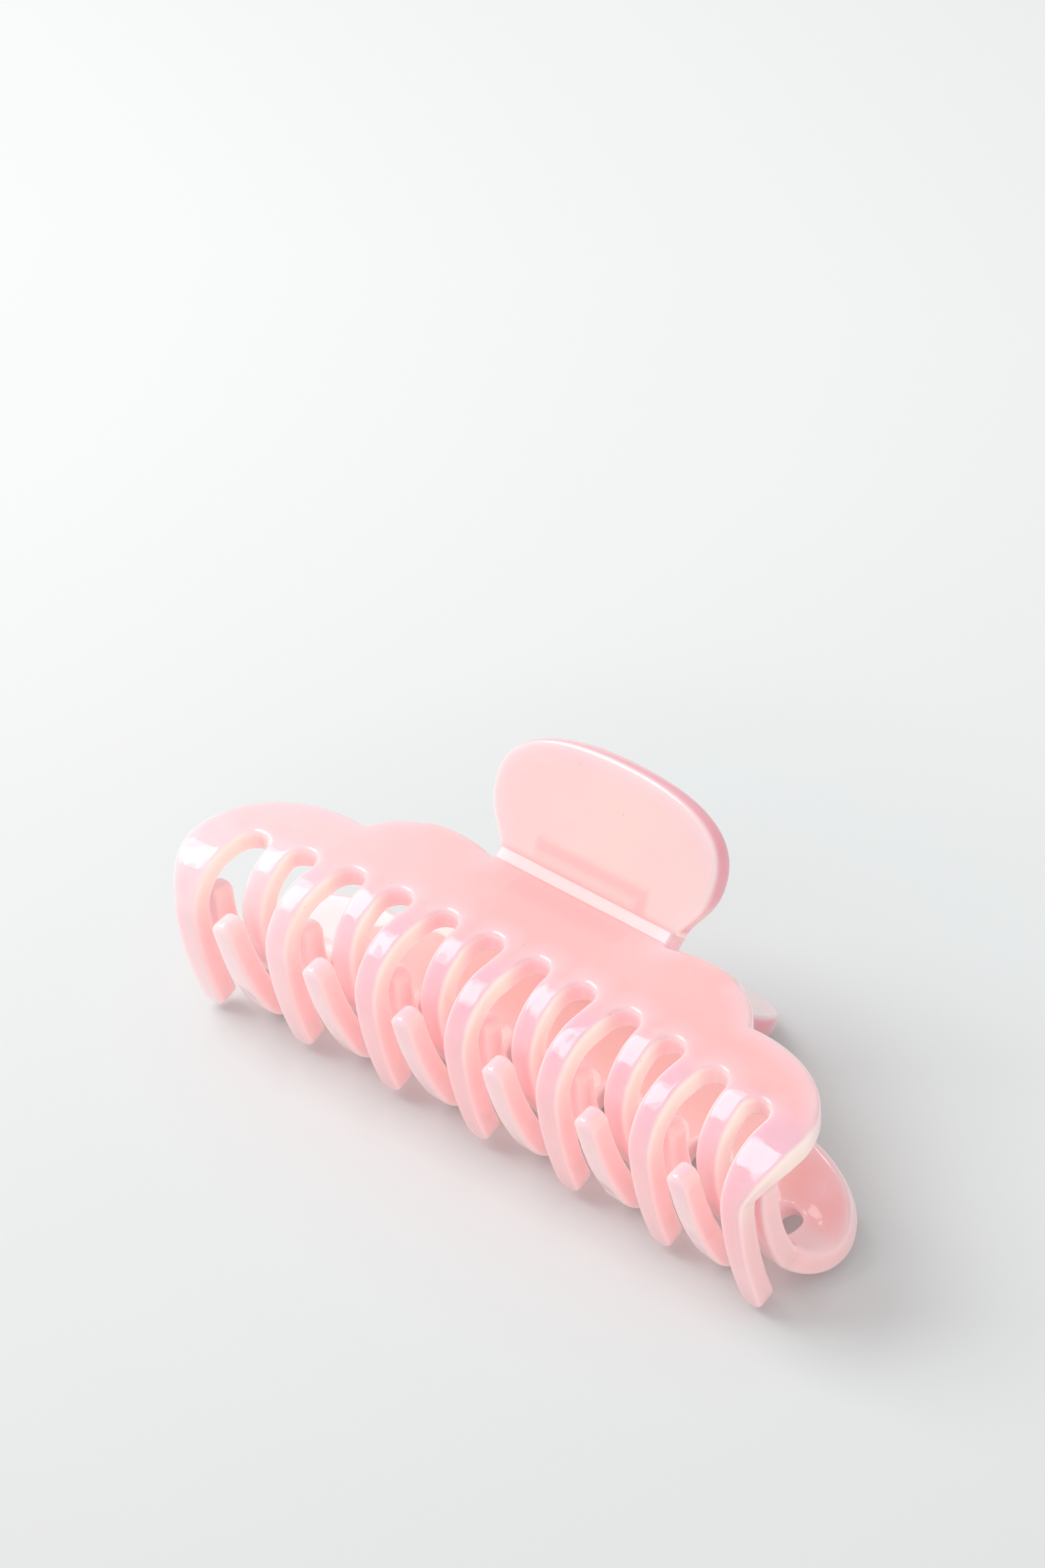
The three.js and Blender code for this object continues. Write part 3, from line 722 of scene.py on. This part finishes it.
class Link:
    """A socket of a material's nodes. Sums, differences and products of it with numbers or other
    sockets add Math nodes."""

    def __init__(self, tree, socket):
        self.tree, self.socket = tree, socket

    def math(self, operation, *others):
        inputs = {0: self, **dict(enumerate(others, 1))}
        return node(self.tree, "ShaderNodeMath", {"operation": operation}, inputs)[0]

    def __add__(self, other):
        return self.math("ADD", other)

    def __mul__(self, other):
        return self.math("MULTIPLY", other)

    def __sub__(self, other):
        return self.math("SUBTRACT", other)

    def __rsub__(self, other):
        return self.math("MULTIPLY", -1.0).math("ADD", other)

    __radd__, __rmul__ = __add__, __mul__

    def near(self, centre, spread):
        """1 at the centre value, falling smoothly: 1 / (1 + ((v - centre) / spread)^4)."""
        off = ((self - centre) * (1 / spread)).math("POWER", 2.0)
        return (off * off + 1.0).math("POWER", -1.0)

    def rise(self, low, high):
        """0 at low and 1 at high, smoothly between and flat beyond; low may be the larger one."""
        return node(self.tree, "ShaderNodeMapRange", {"interpolation_type": "SMOOTHSTEP"},
                    {"Value": self, "From Min": low, "From Max": high})[0]


def node(tree, kind, settings=None, inputs=None):
    """Adds a node: its settings first, then values or links by socket. Returns its outputs."""
    made = tree.nodes.new(kind)
    for name, value in (settings or {}).items():
        setattr(made, name, value)
    for name, value in (inputs or {}).items():
        if isinstance(value, Link):
            tree.links.new(value.socket, made.inputs[name])
        else:
            made.inputs[name].default_value = value
    return [Link(tree, out) for out in made.outputs]


def mix_colour(tree, share, one, other):
    """One colour where share is 0 and the other where it is 1, each a value or a link."""
    made = tree.nodes.new("ShaderNodeMix")
    made.data_type = "RGBA"
    for index, value in ((0, share), (6, one), (7, other)):
        if isinstance(value, Link):
            tree.links.new(value.socket, made.inputs[index])
        else:
            made.inputs[index].default_value = value
    return Link(tree, made.outputs[2])


def tone(red, green, blue):
    """A colour given as 0-255 screen values, turned to the light values a shader uses."""
    c = np.array([red, green, blue]) / 255
    return (*np.where(c <= 0.04045, c / 12.92, ((c + 0.055) / 1.055) ** 2.4).tolist(), 1.0)


def new_material(name, constants):
    """A material whose shader has the given fixed values, its node tree and that shader."""
    material = bpy.data.materials.new(name)
    material.use_nodes = True
    tree = material.node_tree
    shader = tree.nodes["Principled BSDF"]
    for socket, value in constants.items():
        shader.inputs[socket].default_value = value
    return material, tree, shader


def feed(tree, link, shader, socket):
    """Links what changes over the surface to a socket of the shader."""
    tree.links.new(link.socket, shader.inputs[socket])


HOLLOW_MIDDLE = (-8.0, 19.0)  # y and z of the middle of the space for hair, in the frame
MARGIN = 4.0
TEETH_FROM, TEETH_FADE = 15.0, 3.0  # ahead of the crease, where the teeth's walls take over
WALL_LEVEL, WALL_SAMPLE, BATCHES = 0.75, 3, 60  # which wall points are measured to, and in what portions


def mark_walls(piece, up):
    """Stores three marks at each point of a jaw. "wall" is 1 where the surface stands square to the
    sheet of plastic and 0 on its faces: on the teeth the walls face along x, and on the plate and
    the paddle the sheet's own normal tells them. "inside" is how far the surface faces the middle
    of the space for hair: the (y, z) of its normal times the direction to that middle. "margin"
    falls evenly from 1 at a wall to 0 at MARGIN from it, measured to some of the wall's points."""
    count = len(piece.data.vertices)
    place, normal = np.empty(count * 3, np.float32), np.empty(count * 3, np.float32)
    piece.data.vertices.foreach_get("co", place)
    piece.data.vertices.foreach_get("normal", normal)
    place, normal = place.reshape(-1, 3), normal.reshape(-1, 3)
    corner, up_paddle, along_plate = jaw_axes(up)
    paddle_face = np.array([-up_paddle[1], up_paddle[0]])
    plate_face = np.array([-along_plate[1], along_plate[0]])
    from_crease = (place[:, 1:] - corner) / MM
    on_paddle = np.clip(from_crease @ up_paddle - from_crease @ along_plate, 0, 1)
    on_tooth = np.clip((from_crease @ along_plate - TEETH_FROM) / TEETH_FADE, 0, 1)
    square_to = [1 - np.abs(normal[:, 1:] @ face) for face in (plate_face, paddle_face)]
    edge = square_to[0] * (1 - on_paddle) + square_to[1] * on_paddle
    edge = edge * (1 - on_tooth) + np.abs(normal[:, 0]) * on_tooth
    to_middle = np.array(HOLLOW_MIDDLE) * MM - place[:, 1:]
    to_middle /= np.linalg.norm(to_middle, axis=1)[:, None]
    inside = (normal[:, 1:] * to_middle).sum(1)
    walls = place[edge > WALL_LEVEL][::WALL_SAMPLE]
    to_wall = np.concatenate([np.sqrt(((part[:, None] - walls) ** 2).sum(-1).min(1))
                              for part in np.array_split(place, BATCHES)])
    margin = 1 - to_wall / (MARGIN * MM)
    for name, value in (("wall", edge), ("inside", inside), ("margin", margin)):
        mark = piece.data.attributes.new(name, "FLOAT", "POINT")
        mark.data.foreach_set("value", np.clip(value, 0, 1).astype(np.float32))


def jaw_axes(up):
    """A jaw's crease in the frame as (y, z) in metres, and the unit directions (y, z) up its paddle
    and forward along its plate."""
    corner, paddle, plate = in_frame(np.array([
        [0.0, 0.0, CREASE_HEIGHT],
        [0.0, -np.cos(PADDLE_ANGLE), CREASE_HEIGHT + np.sin(PADDLE_ANGLE)],
        [0.0, np.cos(PLATE_RISE), CREASE_HEIGHT + np.sin(PLATE_RISE)]]), up)[:, 1:]
    return corner, (paddle - corner) / MM, (plate - corner) / MM


# The plastic's colours, with the painted reflection, glow and shade put among them. A pair is two shades,
# which a soft cloud mixes.
TOOTH_PINK = {"upper": (tone(243, 186, 190), tone(244, 197, 199)),
              "lower": (tone(241, 203, 206), tone(243, 211, 212))}
PLATE_PINK = (tone(252, 191, 190), tone(248, 199, 198))
PADDLE_PINK = (tone(241, 214, 210), tone(240, 209, 209))
CROWN_LAVENDER_AND_REFLECTION = tone(232, 188, 201)
LEFT_END_PALE = tone(248, 224, 226)
MARGIN_PALE = tone(243, 212, 219)
LOW_WALL, HIGH_WALL = tone(245, 200, 200), tone(249, 228, 219)
PLATE_WALL, PADDLE_WALL = tone(247, 204, 208), tone(244, 178, 188)
# painted glow: the cream of faces that look into the space for hair
INNER_GLOW_CREAM = tone(250, 224, 218)
PAD_SHADE, SPECK_SHADE = tone(238, 160, 166), tone(214, 150, 150)
BLACK = (0.0, 0.0, 0.0, 1.0)


def milky_pink(name, jaw_side):
    """Milky, half-clear pink moulding, in distances of millimetres. Faces are pink, and lavender
    near the crown, partly the plastic's tint and partly a painted reflection of the dim room above
    the key light. Edge walls are cream near the crown and salmon low down. The left end and the
    paddle are palest, and the plate is paler at its margins. Faces that look into the space for
    hair are painted cream, a painted glow for light coming through the plastic. The hinge pad
    behind is painted in as shade: a soft darker outline on the paddle and a bar on the plate. A
    weak light of the plastic's own stands for the light that scatters about inside it; it is a
    painted glow, stronger on the walls and the inner faces to lift their shade."""
    up = 1 if jaw_side == "upper" else -1
    material, tree, shader = new_material(name, {
        "Subsurface Weight": 0.9, "Subsurface Radius": (1.0, 0.66, 0.64), "Subsurface Scale": 0.004,
        "IOR": 1.47, "Coat Weight": 0.8, "Coat Roughness": 0.01, "Emission Strength": 0.3})
    place = node(tree, "ShaderNodeTexCoord")[3]
    x, y, z = node(tree, "ShaderNodeSeparateXYZ", None, {0: place})
    corner, up_paddle, along_plate = jaw_axes(up)

    def distance(axis):
        return (y * (axis[0] / MM) + z * (axis[1] / MM)) - float(corner @ axis) / MM

    def noise(scale, detail, roughness=0.5):
        return node(tree, "ShaderNodeTexNoise", None,
                    {"Vector": place, "Scale": scale, "Detail": detail, "Roughness": roughness})[0]

    side, tall = x * (1 / MM), z * (1 / MM)
    above, ahead = distance(up_paddle), distance(along_plate)
    off_middle = side.math("ABSOLUTE")
    wall, inside, margin = [node(tree, "ShaderNodeAttribute", {"attribute_name": mark})[2]
                            for mark in ("wall", "inside", "margin")]

    cloud, fine = noise(45.0, 2.0), noise(420.0, 3.0, 0.6)
    spots = node(tree, "ShaderNodeTexVoronoi", None, {"Vector": place, "Scale": 230.0})[0]
    speck = spots.rise(0.05, 0.03)
    patch = cloud.rise(0.3, 0.7)

    on_plate = ahead.rise(20.0, 14.0)
    on_paddle = above.rise(0.2, 2.0) * ahead.rise(0.0, -1.0)
    face = mix_colour(tree, cloud.rise(0.25, 0.75), *TOOTH_PINK[jaw_side])
    # painted reflection in part: the crown turns a darker lavender, partly the plastic's own tint
    face = mix_colour(tree, tall.rise(16.0, 32.0), face, CROWN_LAVENDER_AND_REFLECTION)
    face = mix_colour(tree, on_plate, face, mix_colour(tree, patch, *PLATE_PINK))
    face = mix_colour(tree, on_paddle, face, mix_colour(tree, patch, *PADDLE_PINK))
    face = mix_colour(tree, side.rise(-8.0, -50.0) * 0.6, face, LEFT_END_PALE)
    face = mix_colour(tree, margin * on_plate * 0.75, face, MARGIN_PALE)
    high = tall.rise(14.0, 30.0) if up > 0 else tall.rise(12.0, 30.0) * 0.3
    edge = mix_colour(tree, high, LOW_WALL, HIGH_WALL)
    edge = mix_colour(tree, on_plate, edge, PLATE_WALL)
    edge = mix_colour(tree, on_paddle, edge, PADDLE_WALL)
    colour = mix_colour(tree, wall.rise(0.1, 0.9), face, edge)
    # painted glow: faces that look into the space for hair turn cream, for light coming through the plastic
    # into that shade
    inner_glow = inside.rise(0.1, 0.8) * off_middle.rise(46.0, 38.0) * (1.0 if up > 0 else 0.6)
    colour = mix_colour(tree, inner_glow * 0.75, colour, INNER_GLOW_CREAM)

    # painted shade of the pad behind: a line across the paddle near the pad's top, another down at
    #     the pad's right end, a faint shade between them, and a bar on the plate
    half_pad = LUG_SPANS["upper"][1]
    across = off_middle.rise(half_pad + 0.8, half_pad - 0.4)
    top_line = above.near(PAD_UP_PADDLE - 0.3, 0.9) * across
    end_line = side.near(half_pad - 0.6, 0.9) * above.rise(PAD_UP_PADDLE + 0.8, PAD_UP_PADDLE - 0.8)
    pad_shade_bar = ahead.near(3.6, 1.6) * across * 0.2
    shade = (top_line.math("MAXIMUM", end_line) * 0.3 + above.rise(6.0, 1.0) * across * 0.12) * on_paddle
    colour = mix_colour(tree, shade + pad_shade_bar, colour, PAD_SHADE)
    colour = mix_colour(tree, speck * 0.3, colour, SPECK_SHADE)
    feed(tree, colour, shader, "Base Color")
    # painted glow: the plastic's own weak light, stronger on the walls and the inner faces to lift their
    # shade
    lit = 0.35 - on_plate * 0.2 + wall.rise(0.3, 0.9) * (1 - on_paddle) * 0.4 + inner_glow * 0.75
    feed(tree, mix_colour(tree, lit, BLACK, colour), shader, "Emission Color")
    feed(tree, fine * 0.02 + cloud * 0.02 + 0.01, shader, "Roughness")
    on_crown = ahead.rise(13.0, 17.0) * (tall.rise(18.0, 26.0) if up > 0 else tall.rise(16.0, 8.0))
    wave = noise(260.0, 0.0) * (on_crown * 0.8 + 0.1)
    bump = node(tree, "ShaderNodeBump", None, {"Strength": 1.0, "Distance": 0.0008, "Height": wave})[0]
    feed(tree, bump, shader, "Normal")
    return material


def drawn_steel(name):
    """Plain drawn steel: bright, with fine scratches drawn out along x."""
    material, tree, shader = new_material(name, {"Metallic": 1.0, "IOR": 2.5})
    place = node(tree, "ShaderNodeTexCoord")[3]
    stretched = node(tree, "ShaderNodeMapping", None, {0: place, 3: (60.0, 900.0, 900.0)})[0]
    scratches = node(tree, "ShaderNodeTexNoise", None, {"Vector": stretched, "Scale": 4.0, "Detail": 4.0})[0]
    colour = mix_colour(tree, scratches, tone(176, 178, 180), tone(214, 214, 212))
    feed(tree, colour, shader, "Base Color")
    feed(tree, scratches * 0.16 + 0.2, shader, "Roughness")
    return material


# ---- the pieces ----

steel = drawn_steel("drawn_steel")

for side, up in (("upper", 1), ("lower", -1)):
    moulding = jaw(side + "_jaw_moulding", side)
    mark_walls(moulding, up)
    moulding.data.materials.clear()
    moulding.data.materials.append(milky_pink("milky_pink_" + side, side))
    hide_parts(side + "_jaw")
    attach(moulding, side)

pin = turned_pin("steel_hinge_pin")
pin.data.materials.append(steel)
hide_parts("hinge_pin")
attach(pin, "upper")

spring = wire("steel_torsion_spring", spring_path(WIRE_STEPS), WIRE_RADIUS)
spring.data.materials.append(steel)
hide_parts("torsion_spring")
coil_middle = from_pin(0.0, 0.0, 0.0)
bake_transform(spring)

# ---- table, light and camera ----


TABLE_REACH = 3.0
# painted light falloff from near to far, and a painted cool tint near the clip
PAPER_SHADED_NEAR, PAPER_LIT_FAR = tone(217, 218, 218), tone(239, 240, 240)
COOL_NEAR, COOL_FAR = tone(219, 223, 223), tone(233, 237, 237)


def table_top():
    """A pale sheet under the clip, much larger than the view. It is lighter toward +y and -x, a painted
    light falloff, and slightly cooler up to 55 mm from the frame's origin, fading out by 110 mm, a
    painted tint against the pink glow that the clip throws on it."""
    corners = np.array([(-1, -1, 0), (1, -1, 0), (1, 1, 0), (-1, 1, 0)]) * TABLE_REACH
    sheet = make_mesh("table", corners, np.array([[0, 1, 2, 3]]))
    material, tree, shader = new_material("table_paper", {"Specular IOR Level": 0.15, "Roughness": 0.8})
    place = node(tree, "ShaderNodeTexCoord")[3]
    grain = node(tree, "ShaderNodeTexNoise", None, {"Vector": place, "Scale": 9.0, "Detail": 2.0})[0]
    x, y, _ = node(tree, "ShaderNodeSeparateXYZ", None, {0: place})
    # painted light falloff: darker near the camera, lighter far off, with a little grain
    away = (y * 0.72 - x * 0.3).rise(-0.22, 0.2) + grain * 0.06
    paper = mix_colour(tree, away, PAPER_SHADED_NEAR, PAPER_LIT_FAR)
    # painted tint: cooler near the clip, against the pink of its glow on the table
    cool = mix_colour(tree, away, COOL_NEAR, COOL_FAR)
    around = (x * x + y * y).rise(0.012, 0.003)
    feed(tree, mix_colour(tree, around, paper, cool), shader, "Base Color")
    sheet.data.materials.append(material)


AIM = Vector((0, 0, 0.02))  # the middle of the clip


def soft_box(name, toward, distance, size, power):
    """A square soft light, in metres and watts, that faces the clip from a direction."""
    lamp = bpy.data.lights.new(name, "AREA")
    lamp.shape, lamp.size, lamp.energy = "SQUARE", size, power
    box = bpy.data.objects.new(name, lamp)
    direction = Vector(toward).normalized()
    box.location = direction * distance + AIM
    box.rotation_euler = direction.to_track_quat("Z", "Y").to_euler()
    bpy.context.scene.collection.objects.link(box)


table_top()
soft_box("key_soft_box", (-0.55, -0.24, 0.8), 0.9, 0.62, 4.4)
soft_box("front_soft_box", (0.25, -0.8, 0.5), 1.2, 1.2, 1.5)

world = bpy.data.worlds.new("room")
world.use_nodes = True
background = world.node_tree.nodes["Background"]
background.inputs["Color"].default_value = (1.0, 1.0, 1.0, 1.0)
background.inputs["Strength"].default_value = 0.65
bpy.context.scene.world = world
bpy.context.scene.view_settings.view_transform = "Standard"

AZIMUTH, ELEVATION, ROLL = np.radians(43.81), np.radians(37.47), np.radians(3.55)
DISTANCE, RIGHT_OF_MIDDLE, BELOW_MIDDLE = 679.2, 7.7, 41.1
SENSOR_HEIGHT, FOCAL_LENGTH = 36.0, 109.55


def stand_camera():
    """A long lens at the viewing angle, with the frame's origin a little right of and below the
    middle of the view."""
    forward = np.array([-np.sin(AZIMUTH) * np.cos(ELEVATION), np.cos(AZIMUTH) * np.cos(ELEVATION),
                        -np.sin(ELEVATION)])
    level = np.array([np.cos(AZIMUTH), np.sin(AZIMUTH), 0])
    below = np.cross(forward, level)
    right = level * np.cos(ROLL) + below * np.sin(ROLL)
    down = -level * np.sin(ROLL) + below * np.cos(ROLL)
    place = -(RIGHT_OF_MIDDLE * right + BELOW_MIDDLE * down + DISTANCE * forward) * MM
    lens = bpy.data.cameras.new("camera")
    lens.sensor_fit, lens.sensor_height, lens.lens = "VERTICAL", SENSOR_HEIGHT, FOCAL_LENGTH
    lens.clip_start, lens.clip_end = 0.01, 20
    camera = bpy.data.objects.new("camera", lens)
    columns = [np.r_[right, 0], np.r_[-down, 0], np.r_[-forward, 0], np.r_[place, 1]]
    camera.matrix_world = Matrix(np.column_stack(columns).tolist())
    bpy.context.scene.collection.objects.link(camera)
    bpy.context.scene.camera = camera


stand_camera()
